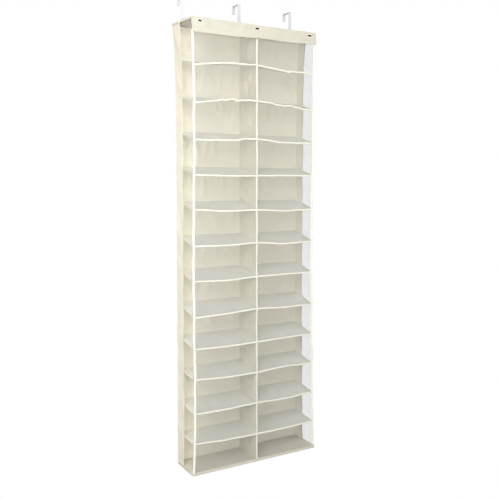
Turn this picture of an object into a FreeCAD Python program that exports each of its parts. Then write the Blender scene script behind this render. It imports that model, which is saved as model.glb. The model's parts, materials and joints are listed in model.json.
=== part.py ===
import FreeCAD, Part
import Sketcher
import math
import os
import re

# Hanging shoe organizer for the back of a door. It is a tall fabric tower of thirteen tiers in two
# columns, stiffened by a board at the top and one at the bottom, with a mesh front. Three strap hooks
# go over the door, and their arms pass under the top board and come out through the front band.
#
# Frame, in millimetres: the origin is the middle of the underside of the centre hook's bridge, which
# rests on the door's top edge. +X is to the right seen from the front, +Z is up, and the front is -Y.

doc = FreeCAD.newDocument("shoe_organizer")

# The driving dimensions -------------------------------------------------------------------------

DIMENSIONS = [
    ("width", 560.0, "organizer, outside"),
    ("depth", 140.0, "organizer, outside"),
    ("tiers", 13, "number of tiers"),
    ("pitch", 132.0, "mean height of a tier"),
    ("belly", 20.0, "how far the middle shelves hang below an even spacing"),
    ("tilt", 42.0, "how far a high shelf's front edge hangs below its rear edge"),
    ("first_lift", 12.0, "how much less than that the first shelf's front edge hangs"),
    ("cloth", 1.5, "thickness of the fabric pieces"),
    ("netting", 0.8, "thickness of the mesh"),
    ("ease", 0.5, "gap beside a piece that slides"),
    ("seam", 0.3, "gap at a sewn edge"),
    ("board", 7.0, "thickness of the stiffening boards"),
    ("board_inset", 4.0, "from the organizer's outside to a board's edge"),
    ("band_height", 48.0, "front band"),
    ("mesh_tuck", 30.0, "how far below the top the mesh begins, behind the band"),
    ("mesh_gap", 0.2, "between the mesh and the tapes in front of it"),
    ("strip_depth", 54.0, "rear strip of each side wall"),
    ("tape_face", 7.5, "binding tape on the front, at the corners"),
    ("tape_return", 6.0, "binding tape on the side, at the corners"),
    ("tape_centre", 6.5, "binding tape over the divider"),
    ("shelf_tape", 6.5, "binding tape along a shelf's front edge"),
    ("shelf_tape_above", 1.5, "how much of that tape stands above the shelf"),
    ("bottom_hem", 10.0, "height of the bottom's edge"),
    ("hook_spacing", 246.0, "from one hook to the next"),
    ("door", 44.0, "gap in the hooks for the door"),
    ("strap_width", 13.0, "hook strap"),
    ("strap", 2.0, "thickness of the hook strap"),
    ("lip", 30.0, "length of the hook behind the door"),
    ("hang", 110.0, "from the door's top edge down to the organizer's top"),
    ("standoff", 25.0, "from the door's middle plane to the organizer's back"),
    ("bend_outer", 3.0, "outside radius of the hook's bends"),
    ("bend_inner", 1.0, "inside radius of the hook's bends"),
    ("cap_width", 14.0, "soft cap on the hook's end"),
    ("cap_height", 6.6, "soft cap on the hook's end"),
    ("cap_length", 3.2, "soft cap on the hook's end"),
    ("cap_radius", 1.0, "edges of the cap"),
    ("slot_width", 15.8, "slot in the cloth for a hook"),
    ("slot_height", 7.4, "slot in the cloth for a hook"),
]

sheet = doc.addObject("Spreadsheet::Sheet", "Dimensions")
for number, (alias, value, meaning) in enumerate(DIMENSIONS, start=1):
    sheet.set(f"A{number}", meaning)
    sheet.set(f"B{number}", str(value))
    sheet.setAlias(f"B{number}", alias)
doc.recompute()

TIERS = int(sheet.tiers)
PLACES = {"left": -1, "centre": 0, "right": 1}


def cells(formula):
    """The formula with each dimension's name turned into its cell of the sheet."""
    names = "|".join(alias for alias, _, _ in DIMENSIONS)
    return re.sub(rf"\b({names})\b", r"Dimensions.\1", formula)


# Places that several pieces share, as formulas on the sheet ---------------------------------------

OUTER = "width / 2"
INNER = "(width / 2 - cloth)"
BACK = "(0 - standoff)"
BACK_INSIDE = "(0 - standoff - cloth)"
FRONT = "(0 - standoff - depth)"
FRONT_INSIDE = "(0 - standoff - depth + cloth)"
TOP = "(0 - hang)"
STACK_BOTTOM = "(0 - hang - 2 * cloth - board)"
ARM_TOP = "(0 - hang - 2 * cloth - board - ease)"
FLOOR = "(0 - hang - pitch * tiers + bottom_hem)"
WALL_END = "(0 - hang - pitch * tiers + bottom_hem + seam)"
SHELF_REAR = "(0 - standoff - cloth - ease)"
SHELF_FRONT = "(0 - standoff - depth + cloth + netting + 2 * seam)"


def rear_level(tier):
    """Height of a shelf's upper side at its rear edge."""
    return f"(0 - hang - pitch * {tier} - belly * sin( 180 deg * {tier} / tiers ))"


def front_level(tier):
    """Height of a shelf's upper side at its front edge."""
    lift = " + first_lift" if tier == 1 else ""
    return f"({rear_level(tier)} - tilt * (1 - ( {tier} / tiers ) ^ 2){lift})"


# Builders -----------------------------------------------------------------------------------------

nodes = []


def node(piece, name):
    """Keep a finished sub-part under its own name."""
    piece.Label = name
    nodes.append(piece)
    return piece


def bind(thing, **formulas):
    for prop, formula in formulas.items():
        thing.setExpression(prop.replace("_", "."), cells(formula))


def slab(name, x, y, z):
    """A box between two formulas on each axis, its low corner in its Placement."""
    box = doc.addObject("Part::Box", name)
    bind(box, Length=f"({x[1]}) - ({x[0]})", Width=f"({y[1]}) - ({y[0]})", Height=f"({z[1]}) - ({z[0]})")
    bind(box, Placement_Base_x=x[0], Placement_Base_y=y[0], Placement_Base_z=z[0])
    return box


def sloped(name, half_width, front_z, rear_z):
    """A panel across the organizer's depth whose lower and upper side may slope from front to rear."""
    panel = doc.addObject("Part::Wedge", name)
    bind(panel, Ymin=SHELF_FRONT, Ymax=SHELF_REAR)
    bind(panel, Xmin=f"0 - {half_width}", X2min=f"0 - {half_width}", Xmax=half_width, X2max=half_width)
    bind(panel, Zmin=front_z[0], Zmax=front_z[1], Z2min=rear_z[0], Z2max=rear_z[1])
    return panel


def boolean(kind, name, first, second):
    """A Part boolean of two objects, or of an object and a list for a fusion of many."""
    result = doc.addObject(kind, name)
    result.Base = first
    result.Tool = second
    return result


def joined(name, pieces):
    result = doc.addObject("Part::Compound", name)
    result.Links = pieces
    return result


def with_slots(name, panel, y):
    """The panel with the three slots that the hooks' arms pass through."""
    low = f"{ARM_TOP} - slot_height + ease"
    tools = []
    for place, side in PLACES.items():
        middle = f"{side} * hook_spacing"
        x = (f"{middle} - slot_width / 2", f"{middle} + slot_width / 2")
        tools.append(slab(f"{name}_slot_{place}", x, y, (low, f"{low} + slot_height")))
    return boolean("Part::Cut", name, panel, joined(f"{name}_slots", tools))


# Hooks: a steel strap bent over the door, with an arm that runs forward under the top board -------

REACH = "(standoff + depth + seam)"
HOOK_OUTLINE = [
    ("door / 2 + strap", "0 - lip"),
    ("door / 2 + strap", "strap"),
    ("0 - door / 2 - strap", "strap"),
    ("0 - door / 2 - strap", ARM_TOP),
    (f"0 - {REACH}", ARM_TOP),
    (f"0 - {REACH}", f"{ARM_TOP} - strap"),
    ("0 - door / 2", f"{ARM_TOP} - strap"),
    ("0 - door / 2", "0"),
    ("door / 2", "0"),
    ("door / 2", "0 - lip"),
]
BENDS = (("outside", (1, 2, 6), "bend_outer"), ("inside", (3, 7, 8), "bend_inner"))


def strap_hook(place, side):
    """One hook, as a padded outline with its bends rounded on both sides."""
    body = doc.addObject("PartDesign::Body", f"hook_{place}")
    plane = next(p for p in body.Origin.OriginFeatures if p.Role == "YZ_Plane")
    sketch = body.newObject("Sketcher::SketchObject", f"hook_{place}_outline")
    sketch.AttachmentSupport = (plane, "")
    sketch.MapMode = "FlatFace"
    corners = [tuple(float(sheet.evalExpression(cells(f))) for f in corner) for corner in HOOK_OUTLINE]
    count = len(corners)
    for index in range(count):
        start = FreeCAD.Vector(*corners[index], 0)
        end = FreeCAD.Vector(*corners[(index + 1) % count], 0)
        sketch.addGeometry(Part.LineSegment(start, end), False)
    for index in range(count):
        sketch.addConstraint(Sketcher.Constraint("Coincident", index, 2, (index + 1) % count, 1))
    for index, corner in enumerate(HOOK_OUTLINE):
        for kind, formula, value in zip(("DistanceX", "DistanceY"), corner, corners[index]):
            if value == 0:
                sketch.addConstraint(Sketcher.Constraint("PointOnObject", index, 1, -1))
                continue
            rule = sketch.addConstraint(Sketcher.Constraint(kind, -1, 1, index, 1, value))
            sketch.setExpression(f"Constraints[{rule}]", cells(formula))
    pad = body.newObject("PartDesign::Pad", f"hook_{place}_strap")
    pad.Profile = sketch
    pad.SideType = "Symmetric"
    bind(pad, Length="strap_width")
    doc.recompute()
    for name, bends, radius in BENDS:
        sharp = body.Tip
        edges = bend_edges(sharp.Shape, [corners[bend] for bend in bends])
        rounded = body.newObject("PartDesign::Fillet", f"hook_{place}_{name}")
        rounded.Base = (sharp, edges)
        bind(rounded, Radius=radius)
        doc.recompute()
    bind(body, Placement_Base_x=f"{side} * hook_spacing")
    return body


def bend_edges(shape, corners):
    """Names of the edges that run across the strap at the given corners of its outline."""
    names = []
    for index, edge in enumerate(shape.Edges, start=1):
        first, last = edge.Vertexes[0].Point, edge.Vertexes[-1].Point
        across = abs(first.x - last.x) > 1.0
        level = math.hypot(first.y - last.y, first.z - last.z) < 1e-6
        if across and level and any(math.dist((first.y, first.z), corner) < 1e-3 for corner in corners):
            names.append(f"Edge{index}")
    return names


def hook_cap(place, side):
    """The soft cap on the turned-down end of a hook's arm."""
    middle = f"{side} * hook_spacing"
    x = (f"{middle} - cap_width / 2", f"{middle} + cap_width / 2")
    y = (f"0 - {REACH} - cap_length", f"0 - {REACH}")
    z = (f"{ARM_TOP} - cap_height", ARM_TOP)
    block = slab(f"cap_block_{place}", x, y, z)
    doc.recompute()
    cap = doc.addObject("Part::Fillet", f"hook_cap_{place}")
    cap.Base = block
    radius = float(sheet.cap_radius)
    front = min(vertex.Point.y for vertex in block.Shape.Vertexes)
    rims = [
        index
        for index, edge in enumerate(block.Shape.Edges, start=1)
        if min(vertex.Point.y for vertex in edge.Vertexes) < front + 1e-6
    ]
    cap.Edges = [(index, radius, radius) for index in rims]
    return cap


for place, side in PLACES.items():
    node(strap_hook(place, side), f"hook_{place}")
    node(hook_cap(place, side), f"hook_cap_{place}")

# Top: a board between two layers of cloth ---------------------------------------------------------

across = (f"0 - {OUTER}", OUTER)
cover_under = f"{TOP} - cloth"
board_under = f"{cover_under} - board"
board_x = ("0 - width / 2 + board_inset", "width / 2 - board_inset")
board_y = (f"{FRONT} + board_inset", f"{BACK} - board_inset")

node(slab("top_cover", across, (FRONT, BACK), (cover_under, TOP)), "top_cover")
node(slab("top_board", board_x, board_y, (board_under, cover_under)), "top_board")
node(slab("top_lining", board_x, board_y, (STACK_BOTTOM, board_under)), "top_lining")

# Walls: front band, back panel, rear strips of the sides, mesh, and tape on the front edges ---------

band = slab("band_cloth", across, (FRONT, FRONT_INSIDE), (f"{TOP} - band_height", cover_under))
node(with_slots("front_band", band, (f"{FRONT} - ease", f"{FRONT_INSIDE} + ease")), "front_band")

back = slab("back_cloth", across, (BACK_INSIDE, BACK), (WALL_END, cover_under))
node(with_slots("back_panel", back, (f"{BACK_INSIDE} - ease", f"{BACK} + ease")), "back_panel")

strip_y = (f"{BACK} - strip_depth", BACK_INSIDE)
strip_z = (WALL_END, cover_under)
node(slab("side_strip_left", (f"0 - {OUTER}", f"0 - {INNER}"), strip_y, strip_z), "side_strip_left")
node(slab("side_strip_right", (INNER, OUTER), strip_y, strip_z), "side_strip_right")

mesh_y = (f"{FRONT_INSIDE} + mesh_gap", f"{FRONT_INSIDE} + mesh_gap + netting")
mesh_z = (WALL_END, f"{TOP} - mesh_tuck")
mesh_outer = f"({INNER} - ease)"
node(slab("mesh_left", (f"0 - {mesh_outer}", "0 - ease"), mesh_y, mesh_z), "mesh_left")
node(slab("mesh_right", ("ease", mesh_outer), mesh_y, mesh_z), "mesh_right")

tape_z = (WALL_END, f"{TOP} - band_height - seam")
for place, side in PLACES.items():
    if place == "centre":
        middle_x = ("0 - tape_centre / 2", "tape_centre / 2")
        node(slab("tape_centre_strip", middle_x, (FRONT, FRONT_INSIDE), tape_z), "front_tape_centre")
        continue
    outer = f"(0 - {OUTER})" if side < 0 else OUTER
    face = sorted((0, -side))
    face_x = (f"{outer} + {face[0]} * tape_face", f"{outer} + {face[1]} * tape_face")
    side_x = (f"{outer} + {face[0]} * cloth", f"{outer} + {face[1]} * cloth")
    on_front = slab(f"tape_{place}_face", face_x, (FRONT, FRONT_INSIDE), tape_z)
    on_side = slab(f"tape_{place}_return", side_x, (FRONT_INSIDE, f"{FRONT} + tape_return"), tape_z)
    node(boolean("Part::Fuse", f"tape_{place}_angle", on_front, on_side), f"front_tape_{place}")

# Shelves, the divider between each two of them, and the tape on each shelf's front edge ------------

shelf_half = f"({INNER} - ease)"
for tier in range(1, TIERS):
    front, rear = front_level(tier), rear_level(tier)
    ends = [(f"{level} - cloth", level) for level in (front, rear)]
    node(sloped(f"shelf_cloth_{tier}", shelf_half, ends[0], ends[1]), f"shelf_{tier:02d}")
    tape_z = (f"{front} + shelf_tape_above - shelf_tape", f"{front} + shelf_tape_above")
    halves = []
    for side in (-1, 1):
        near, far = "(tape_centre / 2 + ease)", "(width / 2 - tape_face - ease)"
        x = (near, far) if side > 0 else (f"0 - {far}", f"0 - {near}")
        halves.append(slab(f"shelf_tape_{tier}_{side + 1}", x, (FRONT, FRONT_INSIDE), tape_z))
    node(joined(f"shelf_tape_pair_{tier}", halves), f"shelf_tape_{tier:02d}")

for tier in range(1, TIERS + 1):
    if tier == 1:
        roof = f"({ARM_TOP} - slot_height)"
        roofs = (roof, roof)
    else:
        roofs = tuple(f"({level(tier - 1)} - cloth - seam)" for level in (front_level, rear_level))
    if tier == TIERS:
        floors = (WALL_END, WALL_END)
    else:
        floors = tuple(f"({level(tier)} + seam)" for level in (front_level, rear_level))
    ends = [(floors[end], roofs[end]) for end in (0, 1)]
    node(sloped(f"divider_cloth_{tier}", "(cloth / 2)", ends[0], ends[1]), f"divider_{tier:02d}")

# Bottom: a board between two layers of cloth, with a hem round it ----------------------------------

hem_z = (f"{FLOOR} - bottom_hem", FLOOR)
base_under = f"{FLOOR} - cloth"
floor_x = (f"0 - {INNER}", INNER)
floor_y = (FRONT_INSIDE, BACK_INSIDE)
hem_block = slab("hem_block", across, (FRONT, BACK), hem_z)
hem_space = slab("hem_space", floor_x, floor_y, (f"{hem_z[0]} - ease", f"{hem_z[1]} + ease"))
node(boolean("Part::Cut", "hem_ring", hem_block, hem_space), "bottom_hem")
node(slab("bottom_cover", floor_x, floor_y, (base_under, FLOOR)), "bottom_cover")
node(slab("bottom_board", board_x, board_y, (f"{base_under} - board", base_under)), "bottom_board")
node(slab("bottom_lining", floor_x, floor_y, (hem_z[0], f"{base_under} - board")), "bottom_lining")

# Check every object, then write one file for each sub-part -----------------------------------------

doc.recompute()
faults = [thing.Name for thing in doc.Objects if {"Invalid", "Error"} & set(thing.State)]
if faults:
    raise RuntimeError(f"objects that failed to recompute: {faults}")
for piece in nodes:
    if piece.Shape.isNull() or not piece.Shape.isValid() or not piece.Shape.Solids:
        raise RuntimeError(f"{piece.Label} has no sound solid")

os.makedirs("parts", exist_ok=True)
for piece in nodes:
    piece.Shape.exportStep(f"parts/{piece.Label}.step")
box = FreeCAD.BoundBox()
for piece in nodes:
    box.add(piece.Shape.BoundBox)
print(f"{len(nodes)} sub-parts, {box.XLength:.1f} x {box.YLength:.1f} x {box.ZLength:.1f} mm")
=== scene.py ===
import json
import math

import bpy
import numpy as np
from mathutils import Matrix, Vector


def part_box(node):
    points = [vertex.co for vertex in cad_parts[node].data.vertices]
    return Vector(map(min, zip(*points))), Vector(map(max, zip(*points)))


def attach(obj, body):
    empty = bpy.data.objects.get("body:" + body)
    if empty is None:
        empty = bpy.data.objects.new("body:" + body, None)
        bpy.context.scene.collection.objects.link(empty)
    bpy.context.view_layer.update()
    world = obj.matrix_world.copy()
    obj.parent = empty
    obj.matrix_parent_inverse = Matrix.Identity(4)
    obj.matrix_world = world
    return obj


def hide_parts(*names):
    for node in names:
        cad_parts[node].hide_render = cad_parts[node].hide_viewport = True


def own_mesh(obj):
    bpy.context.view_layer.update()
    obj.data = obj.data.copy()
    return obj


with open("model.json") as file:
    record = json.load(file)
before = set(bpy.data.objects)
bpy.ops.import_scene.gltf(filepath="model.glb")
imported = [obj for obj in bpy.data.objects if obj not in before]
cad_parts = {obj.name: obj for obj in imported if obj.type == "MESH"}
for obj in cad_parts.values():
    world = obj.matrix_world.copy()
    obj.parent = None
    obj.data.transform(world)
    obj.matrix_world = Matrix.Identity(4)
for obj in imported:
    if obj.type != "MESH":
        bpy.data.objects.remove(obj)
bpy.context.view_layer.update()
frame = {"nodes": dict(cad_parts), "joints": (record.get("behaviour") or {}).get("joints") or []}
bpy.ops.object.select_all(action="DESELECT")

# Sizes, in metres, from the frame ---------

COVER_LOW, COVER_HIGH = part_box("top_cover")
HEM_LOW, HEM_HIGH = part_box("bottom_hem")
LINING_LOW, LINING_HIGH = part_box("top_lining")
HALF = COVER_HIGH.x
FRONT, BACK = COVER_LOW.y, COVER_HIGH.y
DEPTH = BACK - FRONT
TOP, FLOOR, BASE = COVER_HIGH.z, HEM_HIGH.z, HEM_LOW.z
STACK = TOP - LINING_LOW.z
TIERS = 1 + sum(name.startswith("shelf_tape") for name in frame["nodes"])

MESH_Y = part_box("mesh_left")[1].y
BAND_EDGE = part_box("front_band")[0].z
PLACES = ("left", "centre", "right")

# How thick the cloth, the folded tape and the front band are, and what is left between cloths that
# lie on each other.
CLOTH, TAPE, BAND_THICK = 0.0009, 0.0016, 0.0014
GAP = 0.0006

# What is turned in at a hemmed and sewn edge, the hem at each end of a shelf, and how far from the
# back a shelf's ends are sewn to the side strips.
END_HEM = 0.009
STRIP_SEAM = 0.060

# Low x, high x, low z and high z of the slots that the hooks' caps come through, with their ease.
SLOT_EASE_X, SLOT_EASE_Z = 0.0007, 0.0006
SLOTS = []
for cap_low, cap_high in (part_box(f"hook_cap_{side}") for side in PLACES):
    across = (cap_low.x - SLOT_EASE_X, cap_high.x + SLOT_EASE_X)
    SLOTS.append((*across, cap_low.z - SLOT_EASE_Z, cap_high.z + SLOT_EASE_Z))

# Where the back's yoke ends, how far the tower folds up, and what share of its height it keeps.
YOKE_EDGE = SLOTS[1][2] - 0.004
TRAVEL = next(joint for joint in frame["joints"] if joint["name"] == "fold_up")["range_m"][1]
FOLDED = 1 - TRAVEL / (TOP - FLOOR)


def shelf_name(tier):
    return f"shelf_{tier:02d}"


# Heights of the shelves' upper sides at the rear and the front, from the lining down to the floor.
SHELVES = [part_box(shelf_name(tier)) for tier in range(1, TIERS)]
PLATE = COVER_HIGH.z - COVER_LOW.z
REAR_Z = [LINING_LOW.z] + [high.z for low, high in SHELVES] + [FLOOR]
FRONT_Z = [LINING_LOW.z] + [low.z + PLATE for low, high in SHELVES] + [FLOOR]

# How far each shelf's front edge is lifted, in millimetres, at its left end, the middle of its left
# half, the divider, the middle of its right half, and its right end.
LIFT = {
    1: (-5, 12, 15, 3, 4),
    2: (4, 23, 25, 14, 4),
    3: (2, 4, 14, 3, 5),
    4: (6, 3, 4, 6, 6),
    5: (8, 1, 3, -3, 1),
    6: (2, 0, 5, -5, 0),
    7: (-1, -6, 0, 1, 1),
    8: (-10, -7, 0, -6, -5),
    9: (-5, -9, -8, -5, -4),
    10: (3, -4, -5, 2, -2),
    11: (-6, -8, -5, -9, -3),
    12: (2, -6, -8, -9, -5),
}


# How the cloth hangs ---------


def ease(value):
    """Zero to one with flat ends."""
    value = np.clip(value, 0.0, 1.0)
    return value * value * (3 - 2 * value)


# How far each side is drawn in at the front and the rear, and how far the rear corners flare out and
# the height within which that fades.
WAIST_LEFT, WAIST_RIGHT, WAIST_REAR = 0.0050, 0.0115, 0.0010
FLARE, FLARE_FADES = 0.015, 0.11


def hang(x, y, z):
    """Where a point of the flat pattern ends up: the front is waisted between the two boards, more
    on the right than on the left, the rear corners flare out at the top board, and the edges wander
    a little."""
    down = np.clip((TOP - z) / (TOP - BASE), 0, 1)
    slack = 1 - (2 * down - 1) ** 6
    outward = x / HALF
    rear = np.clip((y - FRONT) / DEPTH, 0, 1)
    waist = np.where(x < 0, WAIST_LEFT, WAIST_RIGHT) * (1 - rear) + WAIST_REAR
    flare = FLARE * np.exp(-(TOP - z) / FLARE_FADES) * rear**1.5 * np.abs(outward) ** 8 * np.sign(x)
    sway = 0.0026 * np.sin(5.2 * z + 3.96) * (1 - rear)
    wander = 0.0006 * np.sin(31 * z + 1.3) + 0.0004 * np.sin(67 * z + 2 * outward)
    drift = 0.0012 * np.sin(23 * z + 0.4) + 0.0007 * np.sin(54 * z + 1.1)
    new_x = x + slack * ((sway + wander) * outward**2 - outward * waist) + flare
    new_y = y + slack * drift * (1 - rear)
    return new_x, new_y, z


def kinks(x, seed, count, deep, wide):
    """Short sharp bends along a tape that was gathered as it was sewn."""
    rng = np.random.default_rng(seed)
    total = np.zeros_like(x)
    for _ in range(count):
        middle, breadth = rng.uniform(-0.9, 0.9) * HALF, wide * rng.uniform(0.5, 1.4)
        total += deep * rng.uniform(-1, 1) * np.exp(-(np.abs((x - middle) / breadth) ** 1.5))
    return total


TAPED_HALF = HALF - END_HEM

# How slack a shelf's front edge is: the top three, and the others, which are nearly taut.
SLACK = {1: 1.0, 2: 1.0, 3: 0.7}
NEARLY_TAUT = 0.22


def edge_z(tier, x):
    """Height of a shelf's front edge. It is straight between its tape's ends but for its lift, its
    swing and its kinks."""
    if tier in (0, TIERS):
        return np.full_like(x, FRONT_Z[tier])
    place = np.clip(x / TAPED_HALF, -1, 1) * 2 + 2
    station = np.minimum(place.astype(int), 3)
    lift = np.array(LIFT[tier]) / 1000
    between = place - station
    lifted = lift[station] + (lift[station + 1] - lift[station]) * (0.6 * ease(between) + 0.4 * between)
    held = np.sin(np.pi * np.clip(np.abs(x) / TAPED_HALF, 0, 1)) ** 0.5
    slack = SLACK.get(tier, NEARLY_TAUT)
    swing = 0.0013 * np.sin(x * 61 + 1.7 * tier) + 0.0008 * np.sin(x * 139 - 3.6 * tier)
    return FRONT_Z[tier] + lifted + slack * held * (swing + kinks(x, 60 + tier, 16, 0.0034, 0.009))


def shelf_z(tier, x, y):
    """Height of a shelf's upper side, sagging between the divider and the sides."""
    forward = np.clip((BACK - y) / DEPTH, 0, 1)
    part = np.clip(np.abs(x) / HALF, 0, 1)
    sag = 0.0035 * np.sin(np.pi * forward) * np.sin(np.pi * part) ** 0.8
    if tier in (0, TIERS):
        sag = 0.0
    return REAR_Z[tier] + (edge_z(tier, x) - REAR_Z[tier]) * forward**1.15 - sag


def creases(u, v, width, height, seed, count=7, lean=0.25, deep=0.004, wide=0.012):
    """Soft ridges and hollows in one sewn cell. They run mostly down from its upper seam, and some
    start at its upper corners."""
    rng = np.random.default_rng(seed)
    total = np.zeros_like(u)
    for number in range(count):
        from_corner = number % 3 == 0
        start_u = rng.choice([0.04, 0.96]) if from_corner else rng.uniform(0.08, 0.92)
        start = np.array([start_u * width, rng.uniform(0.86, 1.0) * height])
        slope = rng.normal(0, lean) + (0.9 * (0.5 - start_u) if from_corner else 0)
        length = rng.uniform(0.45, 0.95) * height
        direction = np.array([slope, -1.0])
        direction /= np.linalg.norm(direction)
        along = (u - start[0]) * direction[0] + (v - start[1]) * direction[1]
        side = (u - start[0]) * direction[1] - (v - start[1]) * direction[0]
        share = np.clip(along / length, 0, 1)
        breadth = wide * rng.uniform(0.6, 1.5) * (0.35 + share)
        size = deep * rng.uniform(0.35, 1.0) * rng.choice([-1, 1])
        total += size * np.exp(-((side / breadth) ** 2)) * np.sin(np.pi * share) ** 0.8
    held = ease(u / (0.10 * width)) * ease((width - u) / (0.10 * width))
    held = held * ease(v / (0.12 * height)) * ease((height - v) / (0.04 * height))
    return total * held


# Making meshes ---------


def new_mesh(name, points, faces, uvs=None):
    data = bpy.data.meshes.new(name)
    data.from_pydata([tuple(p) for p in points], [], faces)
    if uvs is not None:
        layer = data.uv_layers.new(name="cut")
        corner_points = np.empty(len(data.loops), np.int32)
        data.loops.foreach_get("vertex_index", corner_points)
        layer.data.foreach_set("uv", np.asarray(uvs, np.float32)[corner_points].ravel())
    data.update()
    piece = bpy.data.objects.new(name, data)
    bpy.context.collection.objects.link(piece)
    return piece


def only(piece):
    bpy.ops.object.select_all(action="DESELECT")
    piece.select_set(True)
    bpy.context.view_layer.objects.active = piece


def join(piece, other):
    only(piece)
    other.select_set(True)
    bpy.ops.object.join()


def smooth(piece, angle=50):
    only(piece)
    bpy.ops.object.shade_smooth_by_angle(angle=math.radians(angle))


def lines(low, high, step, *extra):
    """Evenly spaced grid lines between two places, with some extra ones at given places."""
    count = max(1, round((high - low) / step))
    even = np.linspace(low, high, count + 1)
    kept = [value for value in even if all(abs(value - other) > 0.35 * step for other in extra)]
    return np.array(sorted({low, high, *kept, *extra}))


def grid(name, us, vs, place, holes=()):
    """A cloth cut on the lines us and vs, in metres, put in place by a function of both. A hole is a
    box (low u, high u, low v, high v) on those lines."""
    u, v = np.meshgrid(us, vs)
    x, y, z = place(u, v)
    points = np.stack([np.broadcast_to(part, u.shape).ravel() for part in (x, y, z)], 1)
    across = len(us)
    faces = []
    for row in range(len(vs) - 1):
        for column in range(across - 1):
            middle_u, middle_v = us[column : column + 2].mean(), vs[row : row + 2].mean()
            if any(h[0] < middle_u < h[1] and h[2] < middle_v < h[3] for h in holes):
                continue
            first = row * across + column
            faces.append((first, first + 1, first + across + 1, first + across))
    return new_mesh(name, points, faces, np.stack([u.ravel(), v.ravel()], 1))


def cut_places(us, vs):
    """Where on its cut each point of a grid of these lines is."""
    return [part.ravel() for part in np.meshgrid(us, vs)]


def settle(piece, held, frames=18, swell=0.004, stiff=18.0, bend=1.2, most=0.007, gravity=1.0):
    """Let the cloth find its own folds between its seams. held is one number for each vertex, 1 where it
    is sewn. No point moves further than most."""
    only(piece)
    count = len(piece.data.vertices)
    before = np.empty(count * 3)
    piece.data.vertices.foreach_get("co", before)
    group = piece.vertex_groups.new(name="sewn")
    for index in np.flatnonzero(held > 0.001):
        group.add([int(index)], float(held[index]), "REPLACE")
    cloth = piece.modifiers.new("drape", "CLOTH")
    cloth.settings.vertex_group_mass = "sewn"
    cloth.settings.quality = 5
    cloth.settings.mass = 0.09
    cloth.settings.tension_stiffness = stiff
    cloth.settings.compression_stiffness = stiff
    cloth.settings.shear_stiffness = stiff / 2
    cloth.settings.bending_stiffness = bend
    cloth.settings.shrink_min = -swell
    cloth.settings.air_damping = 6
    cloth.settings.effector_weights.gravity = gravity
    cloth.collision_settings.use_collision = False
    cloth.point_cache.frame_start = 1
    cloth.point_cache.frame_end = frames
    for number in range(1, frames + 1):
        bpy.context.scene.frame_set(number)
    bpy.ops.object.modifier_apply(modifier=cloth.name)
    bpy.context.scene.frame_set(1)
    after = np.empty(count * 3)
    piece.data.vertices.foreach_get("co", after)
    move = (after - before).reshape(-1, 3)
    far = np.linalg.norm(move, axis=1, keepdims=True)
    move *= np.minimum(1, most / np.maximum(far, 1e-9))
    piece.data.vertices.foreach_set("co", (before.reshape(-1, 3) + move).ravel())
    piece.vertex_groups.clear()
    piece.data.update()


def thicken(piece, thickness=CLOTH):
    only(piece)
    wall = piece.modifiers.new("thickness", "SOLIDIFY")
    wall.thickness = thickness
    wall.offset = 0.0
    wall.use_even_offset = True
    bpy.ops.object.modifier_apply(modifier=wall.name)


def reaches(path):
    """How far along a line each of its points is."""
    return np.concatenate([[0], np.cumsum(np.linalg.norm(np.diff(path, axis=0), axis=1))])


def beside(rows, x=0.0, y=0.0, z=0.0):
    """The line through the points whose x, y and z are in rows, moved a little to one side."""
    return np.stack(rows, 1) + np.array([x, y, z])


def finish_with(piece, *finishes):
    for finish in finishes:
        piece.data.materials.append(finish)


def drawn_cloth(name, us, vs, place, *finishes, thickness=CLOTH, holes=()):
    """A cloth that is drawn tight, so it is only put in place, thickened and finished."""
    piece = grid(name, us, vs, place, holes)
    thicken(piece, thickness)
    finish_with(piece, *finishes)
    return piece


# How long a stitch is, the gap to the next, and the radius of its thread.
STITCH, STITCH_GAP, THREAD = 0.0032, 0.0011, 0.00034


def stitch_points(path):
    """Middles and directions of the stitches along a line of points."""
    reach = reaches(path)
    count = max(1, int(reach[-1] / (STITCH + STITCH_GAP)))
    at = (np.arange(count) + 0.5) * reach[-1] / count

    def locate(place):
        return np.stack([np.interp(place, reach, path[:, axis]) for axis in range(3)], 1)

    middle = locate(at)
    heading = locate(at + STITCH / 2) - locate(at - STITCH / 2)
    return middle, heading / np.linalg.norm(heading, axis=1, keepdims=True)


def threads(path, outward):
    """Points and faces of a row of raised stitches along a line, standing proud along outward."""
    middles, headings = stitch_points(path)
    outward = np.asarray(outward, float) / np.linalg.norm(outward)
    points, faces, sides = [], [], 5
    # How far along the stitch each ring of it is, how wide, and how far it rises from the cloth.
    stations = ((-0.5, 0.25, -0.6), (-0.3, 1.0, 0.35), (0.3, 1.0, 0.35), (0.5, 0.25, -0.6))
    for middle, heading in zip(middles, headings):
        side = np.cross(heading, outward)
        base = len(points)
        for along, radius, rise in stations:
            station = middle + heading * along * STITCH
            for corner in range(sides):
                angle = 2 * math.pi * corner / sides
                around = math.cos(angle) * side + math.sin(angle) * outward
                points.append(station + (around * radius + outward * rise) * THREAD)
        for ring in range(len(stations) - 1):
            first = base + ring * sides
            for corner in range(sides):
                a, b = first + corner, first + (corner + 1) % sides
                faces.append((a, b, b + sides, a + sides))
        last = base + (len(stations) - 1) * sides
        faces.append(tuple(base + corner for corner in reversed(range(sides))))
        faces.append(tuple(last + corner for corner in range(sides)))
    return points, faces


def sew(piece, rows):
    """Add rows of stitches to a piece, in its second material. A row is (path, outward)."""
    all_points, all_faces = [], []
    for path, outward in rows:
        points, faces = threads(path, outward)
        offset = len(all_points)
        all_points += points
        all_faces += [tuple(index + offset for index in face) for face in faces]
    row = new_mesh(piece.name + "_rows", all_points, all_faces, np.zeros((len(all_points), 2)))
    for finish in piece.data.materials:
        row.data.materials.append(finish)
    row.data.polygons.foreach_set("material_index", np.full(len(all_faces), 1, np.int32))
    join(piece, row)


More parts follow.
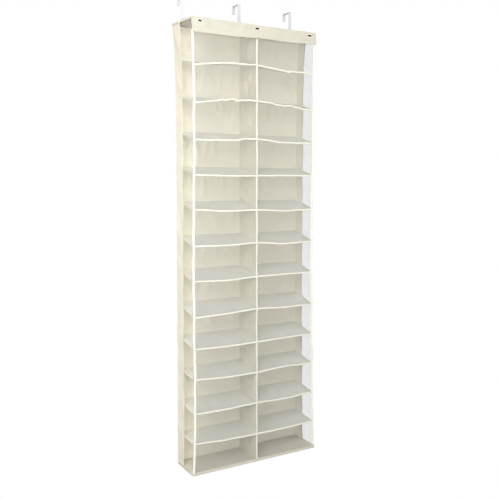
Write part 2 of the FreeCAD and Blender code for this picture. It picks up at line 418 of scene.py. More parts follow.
def sweep(name, path, profile, side, up):
    """A strip of one cross-section along a path. The profile's two numbers run along side and up."""
    side, up = np.asarray(side, float), np.asarray(up, float)
    profile = np.asarray(profile, float)
    corners = len(profile)
    offsets = profile[:, :1] * side + profile[:, 1:] * up
    points = (path[:, None, :] + offsets[None]).reshape(-1, 3)
    uvs = np.stack([np.repeat(reaches(path), corners), np.tile(reaches(profile), len(path))], 1)
    faces = []
    for station in range(len(path) - 1):
        for corner in range(corners):
            a = station * corners + corner
            b = station * corners + (corner + 1) % corners
            faces.append((a, b, b + corners, a + corners))
    last = (len(path) - 1) * corners
    faces.append(tuple(reversed(range(corners))))
    faces.append(tuple(last + corner for corner in range(corners)))
    piece = new_mesh(name, points, faces, uvs)
    only(piece)
    bpy.ops.object.mode_set(mode="EDIT")
    bpy.ops.mesh.select_all(action="SELECT")
    bpy.ops.mesh.normals_make_consistent(inside=False)
    bpy.ops.object.mode_set(mode="OBJECT")
    return piece


# Finishes ---------


class Value:
    """A shader number that Python's own arithmetic works on."""

    def __init__(self, finish, socket):
        self.finish, self.socket = finish, socket

    def __add__(self, other):
        return self.finish.maths("ADD", self, other)

    def __sub__(self, other):
        return self.finish.maths("SUBTRACT", self, other)

    def __rsub__(self, other):
        return self.finish.maths("SUBTRACT", other, self)

    def __mul__(self, other):
        return self.finish.maths("MULTIPLY", self, other)

    __radd__, __rmul__ = __add__, __mul__


class Finish:
    """A material, its main shader, and short ways to add nodes to it."""

    def __init__(self, name, **constants):
        self.material = bpy.data.materials.new(name)
        self.material.use_nodes = True
        self.tree = self.material.node_tree
        self.shader = self.tree.nodes["Principled BSDF"]
        for socket, value in constants.items():
            self.shader.inputs[socket.replace("_", " ")].default_value = value

    def node(self, kind, settings=None, **sockets):
        made = self.tree.nodes.new(kind)
        for key, value in (settings or {}).items():
            setattr(made, key, value)
        for key, value in sockets.items():
            key = int(key[1:]) if key[0] == "_" else key.replace("_", " ")
            self.feed(made.inputs[key], value)
        return made

    def feed(self, socket, value):
        if isinstance(value, Value):
            self.tree.links.new(value.socket, socket)
        elif isinstance(value, bpy.types.NodeSocket):
            self.tree.links.new(value, socket)
        else:
            socket.default_value = value

    def maths(self, operation, *values, clamp=False):
        settings = {"operation": operation, "use_clamp": clamp}
        sockets = {f"_{number}": value for number, value in enumerate(values)}
        made = self.node("ShaderNodeMath", settings, **sockets)
        return Value(self, made.outputs[0])

    def cut(self):
        """Metres along and across the piece's own cut."""
        places = self.node("ShaderNodeUVMap", {"uv_map": "cut"})
        parts = self.node("ShaderNodeSeparateXYZ", _0=places.outputs[0])
        return Value(self, parts.outputs[0]), Value(self, parts.outputs[1]), places.outputs[0]

    def places(self):
        return self.node("ShaderNodeTexCoord").outputs["Object"]

    def noise(self, vector, scale, detail=3.0, roughness=0.5, distortion=0.0):
        made = self.node(
            "ShaderNodeTexNoise", Vector=vector, Scale=scale, Detail=detail, Roughness=roughness,
            Distortion=distortion,
        )
        return Value(self, made.outputs[0])

    def blend(self, share, first, second):
        made = self.node("ShaderNodeMix", {"data_type": "RGBA"}, _0=share, _6=first, _7=second)
        return made.outputs[2]

    def bump(self, height, distance, strength=1.0):
        made = self.node("ShaderNodeBump", Height=height, Distance=distance, Strength=strength)
        self.put("Normal", made.outputs[0])

    def put(self, socket, value):
        self.feed(self.shader.inputs[socket], value)

    def let_light_through(self, share, colour):
        """Thin cloth also glows with the light that falls on its other side."""
        output = self.tree.nodes["Material Output"]
        glow = self.node("ShaderNodeBsdfTranslucent", Color=colour)
        both = self.node("ShaderNodeMixShader", _0=share, _1=self.shader.outputs[0], _2=glow.outputs[0])
        self.tree.links.new(both.outputs[0], output.inputs["Surface"])


def colour(red, green, blue):
    """A shader colour from its everyday 0 to 255 numbers."""
    linear = [((c / 255 + 0.055) / 1.055) ** 2.4 if c > 10 else c / 3295 for c in (red, green, blue)]
    return (*linear, 1.0)


def spunbond(name, light, dark, glow, pitch=0.0017):
    """Non-woven cloth: felted fibres, cloudy where they lie thicker, heat-pressed with a grid of small
    diamonds."""
    finish = Finish(name, Roughness=0.86, Sheen_Weight=0.12, Sheen_Roughness=0.5)
    u, v, cut = finish.cut()
    wave = 2 * math.pi / pitch
    diamonds = finish.maths("COSINE", (u + v) * wave) * finish.maths("COSINE", (u - v) * wave)
    pressed = finish.maths("MULTIPLY", diamonds - 0.35, 3.0, clamp=True)
    fibres = finish.noise(cut, 1500.0, detail=4.0, roughness=0.62, distortion=1.8)
    clouds = finish.noise(cut, 46.0, detail=4.0, roughness=0.6)
    handled = finish.noise(cut, 7.0, detail=2.0)
    tone = finish.maths("ADD", clouds * 0.75 + fibres * 0.35 - 0.18, (handled - 0.5) * 0.5, clamp=True)
    base = finish.blend(tone, dark, light)
    shade = finish.blend(pressed * 0.35, base, dark)
    finish.put("Base Color", shade)
    finish.put("Roughness", 0.80 + fibres * 0.14 - pressed * 0.18)
    finish.bump(fibres * 0.5 + clouds * 0.35 - pressed * 0.9, 0.00035, 0.8)
    if glow:
        finish.let_light_through(glow, light)
    return finish.material


def twill_tape(name, light, dark, rib=0.0009, yarn=0.0006):
    """Woven binding tape: fine ribs across it with a slight slant, and selvages along its edges."""
    finish = Finish(name, Roughness=0.72, Sheen_Weight=0.2, Sheen_Roughness=0.4)
    u, v, cut = finish.cut()
    ribs = finish.maths("SINE", (u + v * 0.35) * (2 * math.pi / rib)) * 0.5 + 0.5
    yarns = finish.maths("SINE", v * (2 * math.pi / yarn)) * 0.5 + 0.5
    fuzz = finish.noise(cut, 1800.0)
    wear = finish.noise(cut, 21.0)
    tone = finish.maths("ADD", ribs * 0.35 + yarns * 0.2 + fuzz * 0.25, wear * 0.35, clamp=True)
    finish.put("Base Color", finish.blend(tone, dark, light))
    finish.put("Roughness", 0.62 + fuzz * 0.22)
    finish.bump(ribs * 0.7 + yarns * 0.3 + fuzz * 0.3, 0.00025, 0.7)
    return finish.material


def netting(name, pale, grey, pitch=0.0019, thread=0.20):
    """Fine knitted net: a slanted square net of thin threads, see-through between them."""
    finish = Finish(name, Roughness=0.55, Sheen_Weight=0.1)
    u, v, cut = finish.cut()
    wobble = (finish.noise(cut, 160.0, detail=2.0) - 0.5) * (pitch * 0.5)

    def to_thread(place):
        return finish.maths("PINGPONG", place * (1 / pitch), 0.5)

    across, down = to_thread(u + v * 0.5 + wobble), to_thread(v - u * 0.5 + wobble)
    near = finish.maths("MINIMUM", across, down)
    solid = finish.maths("MULTIPLY", thread / 2 + 0.03 - near, 16.0, clamp=True)
    knots = finish.maths("LESS_THAN", across + down, thread)
    finish.put("Alpha", finish.maths("MAXIMUM", solid * 0.95, knots))
    # The two colours passed in are painted shade: the white net's threads are given greys that stand in
    # for their own shade.
    finish.put("Base Color", finish.blend(finish.noise(cut, 35.0), grey, pale))
    finish.bump(1 - near * 2, 0.0002, 0.6)
    return finish.material


def sewing_thread(name, base):
    finish = Finish(name, Roughness=0.48, Sheen_Weight=0.25)
    where = finish.places()
    strands = finish.noise(where, 2600.0, detail=2.0)
    finish.put("Base Color", finish.blend(strands, colour(206, 200, 182), base))
    finish.bump(strands, 0.0001, 0.6)
    return finish.material


def coated_steel(name):
    """Pale powder coat over strap steel: faint orange peel, thin and greyer along handled spots."""
    finish = Finish(name, Roughness=0.38, Coat_Weight=0.15, Coat_Roughness=0.2)
    where = finish.places()
    peel = finish.noise(where, 900.0, detail=2.0)
    rubs = finish.noise(where, 60.0, detail=5.0, roughness=0.65)
    worn = finish.maths("MULTIPLY", rubs - 0.6, 5.0, clamp=True)
    finish.put("Base Color", finish.blend(worn * 0.6, colour(196, 197, 199), colour(172, 173, 176)))
    finish.put("Roughness", 0.34 + rubs * 0.16)
    finish.bump(peel * 0.6 - worn * 0.3, 0.00012, 0.5)
    return finish.material


def dipped_vinyl(name):
    finish = Finish(name, Roughness=0.42)
    where = finish.places()
    flow = finish.noise(where, 240.0)
    finish.put("Base Color", finish.blend(flow, colour(22, 22, 23), colour(44, 44, 46)))
    finish.put("Roughness", 0.32 + flow * 0.25)
    finish.bump(flow, 0.0002, 0.4)
    return finish.material


def greyboard(name):
    """Pressed board: flecked pulp with a faint grain."""
    finish = Finish(name, Roughness=0.92)
    where = finish.places()
    pulp = finish.noise(where, 220.0, detail=6.0, roughness=0.7)
    flecks = finish.maths("MULTIPLY", finish.noise(where, 900.0, detail=2.0) - 0.62, 8.0, clamp=True)
    tone = finish.blend(pulp, colour(150, 132, 104), colour(186, 168, 138))
    finish.put("Base Color", finish.blend(flecks * 0.5, tone, colour(92, 78, 60)))
    finish.bump(pulp, 0.0003, 0.5)
    return finish.material


CREAM = spunbond("cream_cloth", colour(251, 248, 238), colour(241, 237, 223), 0.48)
# The band's cloth is the cream cloth with its colours painted darker. This painted shade offsets the
# extra direct light that the band, the top and the bottom hem catch. Its lower glow comes from its
# doubled cloth.
BAND_PAINTED_SHADE = spunbond("band_cloth", colour(214, 211, 196), colour(200, 196, 180), 0.12)
# The shelves' cloth is a lighter, more neutral copy of the cream cloth. Its extra lightness is a painted
# highlight for the light that the shelf tops catch. Its neutral tint is the shelf cloth's own.
SHELVING_PAINTED_HIGHLIGHT = spunbond("shelf_cloth", colour(252, 252, 248), colour(245, 244, 238), 0.52)
LINING = spunbond("lining_cloth", colour(253, 250, 240), colour(244, 239, 224), 0.3)
BINDING = twill_tape("binding_tape", colour(234, 232, 220), colour(220, 216, 202))
EDGING = twill_tape("edging_tape", colour(224, 222, 210), colour(208, 205, 190))
# The net is white, but its threads are painted grey. This is painted shade for the threads' own
# self-shadowing.
NET_PAINTED_SHADE = netting("white_net", colour(160, 163, 161), colour(141, 144, 142))
THREADS = sewing_thread("cream_thread", colour(236, 232, 218))
STEEL = coated_steel("white_coated_steel")
VINYL = dipped_vinyl("black_vinyl")
BOARD = greyboard("stiff_board")


def place_on(piece, body, node, fixed=None, keep=None):
    """Smooth a finished piece, attach it to its body and hide the node it stands for. fixed is the
    height that it would fold towards, and keep is the share of its own height that it would keep;
    without keep, that share is what carries its lower end along with the bottom. No fold is made here:
    with fixed, the piece only gets a mesh of its own."""
    smooth(piece)
    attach(piece, body)
    if fixed is not None:
        keep = keep or 1 - TRAVEL / (fixed - FLOOR)
        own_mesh(piece)
    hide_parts(node)


# Hooks and boards, in better finishes ---------


def refinish(node, finish):
    for socket in frame["nodes"][node].material_slots:
        socket.material = finish


for side in PLACES:
    refinish(f"hook_{side}", STEEL)
    refinish(f"hook_cap_{side}", VINYL)
refinish("top_board", BOARD)
refinish("bottom_board", BOARD)

# Top ---------

# The radius of the board's edges under the cloth, and how far down the cloth reaches over them.
BEND = 0.003
WRAP = STACK - GAP


def over_edge(along, half):
    """How far out and how far down a cloth lies that is drawn over a board's rounded edge."""
    flat = half - BEND
    turn = np.clip((np.abs(along) - flat) / BEND, 0, math.pi / 2)
    beyond = np.maximum(np.abs(along) - flat - BEND * math.pi / 2, 0)
    out = np.minimum(np.abs(along), flat) + BEND * np.sin(turn)
    return np.sign(along) * out, BEND * (1 - np.cos(turn)) + beyond


def top_cover():
    middle = (FRONT + BACK) / 2
    half_x, half_y = HALF + GAP, DEPTH / 2 + 0.0004
    reach_x = half_x - BEND + BEND * math.pi / 2 + WRAP - BEND
    reach_y = half_y - BEND + BEND * math.pi / 2 + WRAP - BEND

    def place(u, v):
        x, drop_x = over_edge(u, half_x)
        y, drop_y = over_edge(v, half_y)
        forward = v < -half_y + BEND
        y = np.where(forward, -half_y + 0.0012, y)
        drop_y = np.where(forward, 0, drop_y)
        drop = np.maximum(drop_x, drop_y)
        soft = creases(
            u + half_x, v + half_y, 2 * half_x, 2 * half_y, 5, count=9, lean=0.8, deep=0.0011, wide=0.02
        )
        flat = drop < 1e-4
        z = TOP + soft * flat - 0.0006 * np.cos(np.pi * u / half_x) * flat - drop
        return hang(x, y + middle, z)

    us = lines(-reach_x, reach_x, 0.005)
    vs = lines(-half_y + BEND - 1e-4, reach_y, 0.004)
    piece = drawn_cloth("top_cloth", us, vs, place, BAND_PAINTED_SHADE, THREADS)
    seam_z, rim = TOP - WRAP + 0.003, []
    ys = np.linspace(FRONT + 0.004, BACK - 0.002, 40)
    for end in (-1, 1):
        line = hang(np.full_like(ys, end * (half_x + CLOTH / 2)), ys, np.full_like(ys, seam_z))
        rim.append((beside(line), (end, 0, 0)))
    xs = np.linspace(-HALF + 0.004, HALF - 0.004, 120)
    line = hang(xs, np.full_like(xs, BACK + 0.0008 + CLOTH / 2), np.full_like(xs, seam_z))
    rim.append((beside(line), (0, 1, 0)))
    sew(piece, rim)
    place_on(piece, "top", "top_cover")
    2 * reach_x
    half_y + reach_y


def top_lining():
    low, high = LINING_LOW, LINING_HIGH

    def place(u, v):
        soft = creases(
            u + high.x, v - FRONT, 2 * high.x, DEPTH, 11, count=9, lean=0.7, deep=0.0012, wide=0.02
        )
        return u, v, low.z + CLOTH / 2 + GAP + np.maximum(soft, -0.0002) * 0.5

    us = lines(low.x, high.x, 0.008)
    vs = lines(low.y, high.y, 0.006)
    piece = drawn_cloth("top_lining_cloth", us, vs, place, LINING)
    place_on(piece, "top", "top_lining")


BAND_Y = FRONT + BAND_THICK / 2

# How far the band's lower edge droops, in metres, at places along it from its left end to its right.
DROOP_PLACES = (-1.0, -0.5, 0.0, 0.4, 1.0)
DROOP = (0.0095, 0.0078, 0.0035, 0.0042, -0.0025)


def band_low(x):
    """Lower edge of the front band: it droops towards the left, and its hem is a little scalloped."""
    scallops = 0.0012 * np.sin(21 * x + 0.6) + 0.0007 * np.sin(173 * x) + 0.0004 * np.sin(263 * x + 1)
    return BAND_EDGE - np.interp(x / HALF, DROOP_PLACES, DROOP) + scallops


def front_band():
    """The band over the top's front, which flares forward below the slots and has two rows of
    stitches along its hem."""

    def place(u, v):
        share = np.clip((TOP - v) / (TOP - BAND_EDGE), 0, 1)
        z = v + (band_low(u) - BAND_EDGE) * ease((share - 0.45) / 0.55)
        soft = creases(
            u + HALF, v - BAND_EDGE, 2 * HALF, TOP - BAND_EDGE, 23,
            count=20, lean=0.5, deep=0.0026, wide=0.013,
        )
        bell = 0.0012 * np.sin(17 * u + 1.0) * ease((share - 0.3) / 0.7)
        flare = 0.0040 * ease((share - 0.33) / 0.40)
        return hang(u, BAND_Y - GAP - np.abs(bell) - np.abs(soft) - flare, z)

    us = lines(-HALF, HALF, 0.005, *[edge for slot in SLOTS for edge in slot[:2]])
    vs = lines(BAND_EDGE, TOP, 0.004, SLOTS[0][2], SLOTS[0][3])
    piece = drawn_cloth(
        "front_band_cloth", us, vs, place, BAND_PAINTED_SHADE, THREADS, thickness=BAND_THICK, holes=SLOTS
    )
    xs = np.linspace(-HALF + 0.003, HALF - 0.003, 160)
    rows = []
    for height in (TOP - 0.0035, BAND_EDGE + 0.006, BAND_EDGE + 0.0085):
        rows.append((beside(place(xs, np.full_like(xs, height)), y=-BAND_THICK / 2), (0, -1, 0)))
    sew(piece, rows)
    place_on(piece, "top", "front_band")
    for side, (x0, x1, z0, z1) in zip(PLACES, SLOTS):
        buttonhole(f"buttonhole_{side}", x0, x1, z0, z1, place)


def buttonhole(name, x0, x1, z0, z1, place):
    """Thread worked close round a slot: short bars that cross its edge side by side."""
    step, reach = 0.0008, 0.0019
    # How far out each row of a bar's points is, as a share of reach, and how high it stands.
    bar = ((-0.15, 0.0001), (0.3, 0.00045), (0.7, 0.00045), (1.0, 0.0))
    around = []
    for x in np.arange(x0, x1, step):
        around += [(x, z0, 0, -1), (x, z1, 0, 1)]
    for z in np.arange(z0, z1, step):
        around += [(x0, z, -1, 0), (x1, z, 1, 0)]
    points, faces = [], []
    half = step * 0.55
    for x, z, dx, dz in around:
        edge = place(np.array(x + dx * 0.0003), np.array(z + dz * 0.0003))
        ax, ay, az = (float(part) for part in edge)
        face_y = ay - BAND_THICK / 2
        base = len(points)
        for along, rise in bar:
            for cross in (-1, 0, 1):
                lift = rise * (1.0 if cross == 0 else 0.25)
                out_x = ax + dx * reach * along + dz * half * cross
                out_z = az + dz * reach * along + dx * half * cross
                points.append((out_x, face_y - 0.00012 - lift, out_z))
        for ring in range(len(bar) - 1):
            for cross in range(2):
                a = base + ring * 3 + cross
                faces.append((a, a + 1, a + 4, a + 3))
    piece = new_mesh(name, points, faces)
    thicken(piece, 0.0003)
    finish_with(piece, THREADS)
    smooth(piece)
    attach(piece, "top")


# Walls ---------


def cell_creases(u, v, levels, width, seed, **ways):
    """Creases of every cell of a cloth that is sewn at these levels, from the top down. u runs across
    it, from 0 to width."""
    total = np.zeros_like(u)
    for number, (high, low) in enumerate(zip(levels, levels[1:]), 1):
        inside = (v <= high) & (v > low)
        if inside.any():
            total[inside] = creases(u[inside], v[inside] - low, width, high - low, seed + number, **ways)
    return total


def near_seams(v, reach=0.004):
    """One at a shelf's rear seam and nothing between two of them."""
    distance = np.min([np.abs(v - z) for z in REAR_Z], axis=0)
    return np.clip(1 - distance / reach, 0, 1)


def held_at_seams(v, also):
    """How firmly a wall is held: fully near the shelves' seams and where also is true, and less and
    less up to 6 mm from a seam."""
    return np.clip(np.maximum(near_seams(v, 0.006), also) * 1.6, 0, 1)


WALL_Y = BACK - CLOTH / 2


def back_place(u, v):
    """The back's cloth: its creases in each cell turn inwards, and it is flat over the yoke."""
    ways = {"count": 8, "deep": 0.0075, "wide": 0.013}
    left = cell_creases(np.abs(np.minimum(u, 0)), v, REAR_Z, HALF, 100, **ways)
    right = cell_creases(np.maximum(u, 0), v, REAR_Z, HALF, 300, **ways)
    soft = np.where(u < 0, left, right)
    inward = -np.abs(soft) * ease((YOKE_EDGE - v) / 0.02)
    return hang(u, WALL_Y + inward + 0.0006 * near_seams(v) * (v < YOKE_EDGE), v)


def back_panel():
    """The back in two pieces: a yoke with slits that the hooks' arms pass, and the part that folds."""
    low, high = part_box("back_panel")
    slits = [(x0 + 0.0005, x1 - 0.0005, z1 - 0.0042, z1) for x0, x1, z0, z1 in SLOTS]
    us = lines(low.x, high.x, 0.0065, 0.0, *[edge for slit in slits for edge in slit[:2]])
    vs = lines(YOKE_EDGE, high.z, 0.004, *slits[0][2:])
    yoke = drawn_cloth("back_yoke_cloth", us, vs, back_place, CREAM, THREADS, holes=slits)
    place_on(yoke, "top", "back_panel")
    high.z - YOKE_EDGE

    us = lines(low.x, high.x, 0.0065, 0.0)
    vs = lines(low.z, YOKE_EDGE, 0.0075, *REAR_Z[1:TIERS])
    piece = grid("back_panel_cloth", us, vs, back_place)
    u, v = cut_places(us, vs)
    sewn = (np.abs(u) < 0.004) | (np.abs(np.abs(u) - HALF) < 0.004) | (v > YOKE_EDGE - 0.003)
    settle(piece, held_at_seams(v, sewn), frames=12, swell=0.002, gravity=0.6)
    thicken(piece)
    finish_with(piece, CREAM, THREADS)
    xs = np.linspace(low.x + 0.004, high.x - 0.004, 150)
    rows = []
    for level in REAR_Z[1:TIERS]:
        rows.append((beside(back_place(xs, np.full_like(xs, level)), y=CLOTH / 2), (0, 1, 0)))
    sew(piece, rows)
    place_on(piece, "top", "back_panel", fixed=YOKE_EDGE)
    YOKE_EDGE - low.z


def side_strip(name, side):
    low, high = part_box(f"side_strip_{name}")
    width = high.y - low.y
    face = side * (HALF - CLOTH / 2)

    def place(u, v):
        soft = cell_creases(
            u - low.y, v, REAR_Z, width, 500 + 40 * side, count=4, deep=0.0026, wide=0.010, lean=0.35
        )
        ruffle = 0.0016 * np.sin(v * 41 + side) * ease((low.y + 0.02 - u) / 0.02)
        return hang(face + side * (soft + ruffle) * 0.8, u, v)

    us = lines(low.y, BACK, 0.004)
    vs = lines(low.z, TOP - 0.002, 0.006, *REAR_Z[1:TIERS])
    piece = grid(f"side_strip_{name}_cloth", us, vs, place)
    u, v = cut_places(us, vs)
    sewn = np.abs(u - BACK) < 0.004
    settle(piece, held_at_seams(v, sewn), frames=10, swell=0.002, gravity=0.6, most=0.004)
    thicken(piece)

    def hem_place(u, v):
        x, y, z = place(u, v)
        return x + side * (CLOTH * 0.95), y, z

    finish_with(piece, CREAM, THREADS)
    us = lines(low.y - 0.0004, low.y + 0.008, 0.0028)
    join(piece, drawn_cloth("strip_hem", us, vs, hem_place, CREAM, THREADS))
    zs = np.linspace(low.z + 0.003, TOP - WRAP - 0.002, 330)
    line = beside(hem_place(np.full_like(zs, low.y + 0.0064), zs), x=side * CLOTH / 2)
    sew(piece, [(line, (side, 0, 0))])
    place_on(piece, "top", f"side_strip_{name}", fixed=TOP)


def mesh_panel(name, side):
    low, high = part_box(f"mesh_{name}")
    width = high.x - low.x
    levels = [high.z, *FRONT_Z[1:]]

    def place(u, v):
        soft = cell_creases(
            u - low.x, v, levels, width, 700 + 30 * side, count=6, lean=0.5, deep=0.0022, wide=0.011
        )
        return hang(u, MESH_Y + 0.0004 + soft, v)

    us = lines(low.x, high.x, 0.0062)
    vs = lines(low.z, high.z, 0.0066, *FRONT_Z[1:TIERS])
    piece = grid(f"mesh_{name}_net", us, vs, place)
    finish_with(piece, NET_PAINTED_SHADE)
    place_on(piece, "top", f"mesh_{name}", fixed=BAND_EDGE)


def folded_tape(width, thick=TAPE, puff=0.0003):
    """Cross-section of a tape folded double round an edge: rounded, and drawn in where it is sewn."""
    half, face = width / 2, -thick * 0.5
    front = [
        (-half, -thick * 0.30),
        (-half * 0.86, face - puff * 0.3),
        (-half * 0.55, face + puff * 0.5),
        (0, face - puff),
        (half * 0.55, face - puff),
        (half * 0.9, face),
        (half, -thick * 0.22),
    ]
    return front + [(a, -b) for a, b in reversed(front)]


# How far from a tape's middle it is sewn, as a share of its width.
TAPE_SEAM = 0.27


def front_tape(name, x):
    """Tape down the front, folded round a corner for the outer two and sewn over the divider's edge
    for the middle one."""
    node = f"front_tape_{name}"
    low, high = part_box(node)
    zs = np.linspace(low.z, band_low(x) + 0.010, 300)
    centre = (low.x + high.x) / 2
    wide = high.x - low.x
    path = beside(hang(np.full_like(zs, centre), np.full_like(zs, FRONT), zs), y=TAPE / 2 - GAP)
    piece = sweep(node + "_fold", path, folded_tape(wide), (1, 0, 0), (0, 1, 0))
    finish_with(piece, BINDING if x else EDGING, THREADS)
    marks = [-wide * TAPE_SEAM, wide * TAPE_SEAM]
    if x:
        outward = math.copysign(1, x)
        marks = [-outward * wide * TAPE_SEAM]
        deep = high.y - FRONT
        flap_x = np.full_like(zs, x - outward * TAPE / 2)
        side_path = beside(hang(flap_x, np.full_like(zs, FRONT + deep / 2), zs))
        flap = sweep("tape_flap", side_path, folded_tape(deep), (0, 1, 0), (-outward, 0, 0))
        finish_with(flap, BINDING, THREADS)
        join(piece, flap)
    rows = [(path + np.array([mark, -TAPE / 2 - 0.0002, 0]), (0, -1, 0)) for mark in marks]
    sew(piece, rows)
    place_on(piece, "top", node, fixed=BAND_EDGE)


# Shelves ---------


def shelf(tier):
    body = shelf_name(tier)
    low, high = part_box(body)

    def place(u, v):
        soft = np.zeros_like(u)
        for start, seed in ((-HALF, 0), (0.0, 1)):
            inside = (u >= start) & (u <= start + HALF)
            soft[inside] = creases(
                u[inside] - start, v[inside] - low.y, HALF, DEPTH, 900 + 2 * tier + seed,
                count=6, lean=0.7, deep=0.0024, wide=0.012,
            )
        return hang(u, v, shelf_z(tier, u, v) - CLOTH / 2 + soft)

    us = lines(low.x, high.x, 0.0048, 0.0)
    vs = lines(low.y, high.y, 0.0050)
    piece = grid(body + "_cloth", us, vs, place)
    u, v = cut_places(us, vs)
    sewn = (np.abs(v - high.y) < 0.003) | (np.abs(v - low.y) < 0.003) | (np.abs(u) < 0.003)
    sewn |= (np.abs(np.abs(u) - high.x) < 0.003) & (v > BACK - STRIP_SEAM)
    settle(piece, sewn.astype(float), frames=10, swell=0.004, most=0.004)
    thicken(piece)
    finish_with(piece, SHELVING_PAINTED_HIGHLIGHT, THREADS)

    def hem_place(u, v):
        x, y, z = place(u, v)
        return x, y, z + CLOTH * 0.9

    rows = []
    for end in (-1, 1):
        us = lines(*sorted((end * high.x, end * (high.x - END_HEM))), 0.003)
        vs = lines(low.y, BACK - STRIP_SEAM, 0.005)
        join(piece, drawn_cloth("shelf_hem", us, vs, hem_place, EDGING, THREADS))
        ys = np.linspace(low.y + 0.004, BACK - STRIP_SEAM - 0.002, 30)
        line = beside(hem_place(np.full_like(ys, end * (high.x - 0.0068)), ys), z=CLOTH / 2)
        rows.append((line, (0, 0, 1)))
    sew(piece, rows)
    place_on(piece, body, body, fixed=REAR_Z[tier], keep=FOLDED)


def shelf_tape(tier):
    """Tape along a shelf's front edge, in two halves with a gap for the tape down the middle."""
    body, node = shelf_name(tier), f"shelf_tape_{tier:02d}"
    low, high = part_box(node)
    centre_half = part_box("front_tape_centre")[1].x
    tall = high.z - low.z
    halves, rows = [], []
    for side in (-1, 1):
        xs = np.linspace(side * centre_half * 0.6, side * (high.x + 0.004), 90)
        zs = edge_z(tier, xs) - tall * 0.28
        path = beside(hang(xs, np.full_like(xs, FRONT), zs), y=TAPE / 2 - 0.0001)
        half = sweep(f"{node}_{side + 1}", path, folded_tape(tall), (0, 0, 1), (0, 1, 0))
        finish_with(half, EDGING, THREADS)
        halves.append(half)
        seam = np.array([0, -TAPE / 2 - 0.00005, -tall * TAPE_SEAM])
        rows.append((path + seam, (0, -1, 0)))
    piece = halves[0]
    join(piece, halves[1])
    sew(piece, rows)
    piece.name = node + "_fold"
    place_on(piece, body, node, fixed=REAR_Z[tier], keep=FOLDED)


DIVIDER_TALL = 0.132


def divider(tier):
    """The cloth between the columns in one tier, drawn between its shelf and what is over it."""
    node = f"divider_{tier:02d}"
    low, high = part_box(node)
    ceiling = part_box("divider_01")[1].z

    def place(u, v):
        zero = np.zeros_like(u)
        floor = shelf_z(tier, zero, u) + 0.0003
        roof = shelf_z(tier - 1, zero, u) - CLOTH - 0.0003 if tier > 1 else np.full_like(u, ceiling)
        soft = creases(
            u - low.y, v, high.y - low.y, DIVIDER_TALL, 1500 + tier,
            count=6, lean=0.3, deep=0.0058, wide=0.0105,
        )
        return hang(soft, u, floor + (roof - floor) * v / DIVIDER_TALL)

    us = lines(low.y, high.y, 0.0042)
    vs = lines(0, DIVIDER_TALL, 0.0048)
    piece = grid(node + "_cloth", us, vs, place)
    u, v = cut_places(us, vs)
    sewn = (v < 0.003) | (v > DIVIDER_TALL - 0.003) | (u < low.y + 0.003) | (u > high.y - 0.003)
    settle(piece, sewn.astype(float), frames=8, swell=0.004, most=0.004, gravity=0.6)
    thicken(piece)
    finish_with(piece, CREAM)
    # The first divider hangs from the lining, so the level it would fold towards is nearer and the share
    # it would keep is smaller.
    fixed, keep = (ceiling + 0.0048, 0.061) if tier == 1 else (TOP, FOLDED)
    place_on(piece, "top", node, fixed=fixed, keep=keep)


# Bottom ---------


def bottom():
    low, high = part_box("bottom_cover")
    width, depth = high.x - low.x, high.y - low.y

    def floor_place(u, v):
        soft = creases(
            u - low.x, v - low.y, width, depth, 41, count=12, lean=0.9, deep=0.0012, wide=0.018
        )
        return u, v, FLOOR - CLOTH / 2 + np.abs(soft) * 0.6

    us = lines(low.x, high.x, 0.006)
    vs = lines(low.y, high.y, 0.005)
    cover = drawn_cloth("bottom_cloth", us, vs, floor_place, CREAM)
    place_on(cover, "bottom", "bottom_cover")

    under_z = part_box("bottom_lining")[0].z + CLOTH / 2

    def under_place(u, v):
        soft = creases(
            u - low.x, v - low.y, width, depth, 43, count=9, lean=0.9, deep=0.001, wide=0.018
        )
        return u, v, under_z + 0.0002 + np.abs(soft) * 0.4

    us = lines(low.x, high.x, 0.008)
    vs = lines(low.y, high.y, 0.006)
    under = drawn_cloth("bottom_lining_cloth", us, vs, under_place, LINING)
    place_on(under, "bottom", "bottom_lining")
    bottom_hem()


def bottom_hem():
    """The bottom's edge: a band of cloth round the board, with one row of stitches."""
    corner, steps = 0.004, 6
    middle_y = (FRONT + BACK) / 2
    outline = []
    for x_sign, y_sign, start in ((1, 1, 0), (-1, 1, 90), (-1, -1, 180), (1, -1, 270)):
        centre = (x_sign * (HALF - corner), middle_y + y_sign * (DEPTH / 2 - corner))
        for step in range(steps + 1):
            angle = math.radians(start + 90 * step / steps)
            outline.append((centre[0] + corner * math.cos(angle), centre[1] + corner * math.sin(angle)))
    outline.append(outline[0])
    outline = np.array(outline)
    reach = reaches(outline)

    def hem_place(u, v):
        x = np.interp(u, reach, outline[:, 0])
        y = np.interp(u, reach, outline[:, 1])
        bulge = 0.0006 * np.sin(np.pi * (v - BASE) / (FLOOR - BASE)) + 0.0004 * np.sin(u * 60)
        toward = np.hypot(x, (y - middle_y) * 4)
        return x + bulge * x / toward, y + bulge * np.sign(y - middle_y) * 0.8, v

    us = np.array(sorted({*reach, *np.arange(0, reach[-1], 0.005)}))
    vs = lines(BASE + 0.0002, FLOOR + GAP, 0.0018)
    hem = drawn_cloth("bottom_hem_cloth", us, vs, hem_place, BAND_PAINTED_SHADE, THREADS, thickness=BAND_THICK)
    around = np.arange(0.001, reach[-1] - 0.001, 0.004)
    row = beside(hem_place(around, np.full_like(around, FLOOR - 0.0018)))
    rows = []
    for start, end, outward in hem_sides(row[:, 0], row[:, 1]):
        rows.append((row[start:end] + BAND_THICK / 2 * np.array(outward), outward))
    sew(hem, rows)
    place_on(hem, "bottom", "bottom_hem")


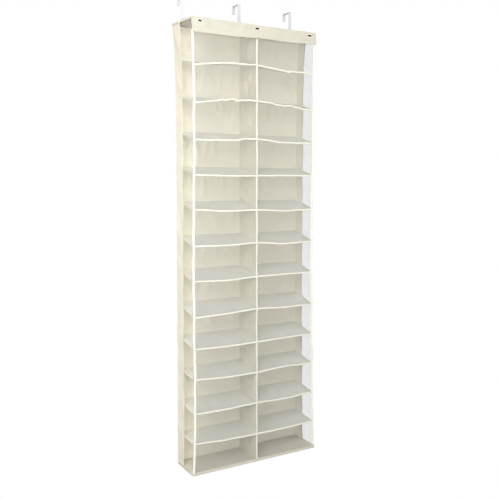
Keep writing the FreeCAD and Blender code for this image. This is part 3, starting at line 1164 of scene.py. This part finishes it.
def hem_sides(x, y):
    """The straight stretches of a rectangular outline, each with its outward direction."""
    sides = []
    for outward, on_side in (
        ((0, 1, 0), y > BACK - 0.0015),
        ((-1, 0, 0), x < -HALF + 0.0015),
        ((0, -1, 0), y < FRONT + 0.0015),
        ((1, 0, 0), x > HALF - 0.0015),
    ):
        found = np.flatnonzero(on_side)
        breaks = np.flatnonzero(np.diff(found) > 1)
        for run in np.split(found, breaks + 1):
            if len(run) > 3:
                sides.append((run[0], run[-1] + 1, outward))
    return sides


# Camera, light and floor ---------

# Where the camera stands, from the front left lower corner, how far it is tilted up from straight
# down and turned round, its lens on a 36 mm sensor, and how far its picture is shifted.
EYE = (-HALF - 1.0587, FRONT - 2.2395, BASE + 1.0976)
EYE_TILT, EYE_TURN = math.radians(87.0), math.radians(-30.27)
EYE_LENS, EYE_SHIFT = 48.07, -0.0587

# Name, place, what it points at, size in metres, and power in watts.
LAMPS = (
    ("key", (-1.45, -2.2, 0.35), (0, -0.1, -0.8), 1.2, 54.0),
    ("left", (-1.7, -1.25, -0.85), (0, -0.1, -1.0), 0.9, 23.0),
    ("right", (2.4, -0.5, -0.4), (0, -0.1, -0.8), 1.4, 14.0),
    ("overhead", (-0.5, -1.8, 1.3), (0, -0.1, -0.6), 1.0, 20.0),
    ("back", (0.3, 2.2, 0.1), (0, -0.1, -0.7), 1.8, 58.0),
)


def stage():
    bpy.ops.object.camera_add(location=EYE, rotation=(EYE_TILT, 0, EYE_TURN))
    camera = bpy.context.object
    camera.data.sensor_width = 36.0
    camera.data.lens = EYE_LENS
    camera.data.shift_y = EYE_SHIFT
    bpy.context.scene.camera = camera

    # A white room, half as bright to the cloth as it looks.
    world = bpy.data.worlds.new("studio")
    world.use_nodes = True
    nodes, links = world.node_tree.nodes, world.node_tree.links
    sees = nodes.new("ShaderNodeLightPath")
    share = nodes.new("ShaderNodeMapRange")
    share.inputs["To Min"].default_value = 0.5
    share.inputs["To Max"].default_value = 1.0
    links.new(sees.outputs["Is Camera Ray"], share.inputs["Value"])
    links.new(share.outputs[0], nodes["Background"].inputs["Strength"])
    nodes["Background"].inputs["Color"].default_value = (1, 1, 1, 1)
    bpy.context.scene.world = world
    bpy.context.scene.view_settings.view_transform = "Standard"

    for name, spot, target, size, power in LAMPS:
        bpy.ops.object.light_add(type="AREA", location=spot)
        lamp = bpy.context.object
        lamp.name = name
        lamp.data.size = size
        lamp.data.energy = power
        aim = np.array(target) - np.array(spot)
        yaw, flat = math.atan2(aim[1], aim[0]), math.hypot(aim[0], aim[1])
        lamp.rotation_euler = (math.atan2(flat, -aim[2]), 0, yaw - math.pi / 2)

    bpy.ops.mesh.primitive_plane_add(size=2.3, location=(0, (FRONT + BACK) / 2, BASE - 1.0))
    floor = bpy.context.object
    floor.name = "studio_floor"
    pale = Finish("pale_floor", Roughness=0.9, Base_Color=(0.9, 0.9, 0.9, 1))
    floor.data.materials.append(pale.material)


stage()
top_cover()
top_lining()
front_band()
back_panel()
for name, side in (("left", -1), ("right", 1)):
    side_strip(name, side)
    mesh_panel(name, side)
for name, corner_x in zip(PLACES, (-HALF, 0, HALF)):
    front_tape(name, corner_x)
for number in range(1, TIERS):
    shelf(number)
    shelf_tape(number)
for number in range(1, TIERS + 1):
    divider(number)
bottom()
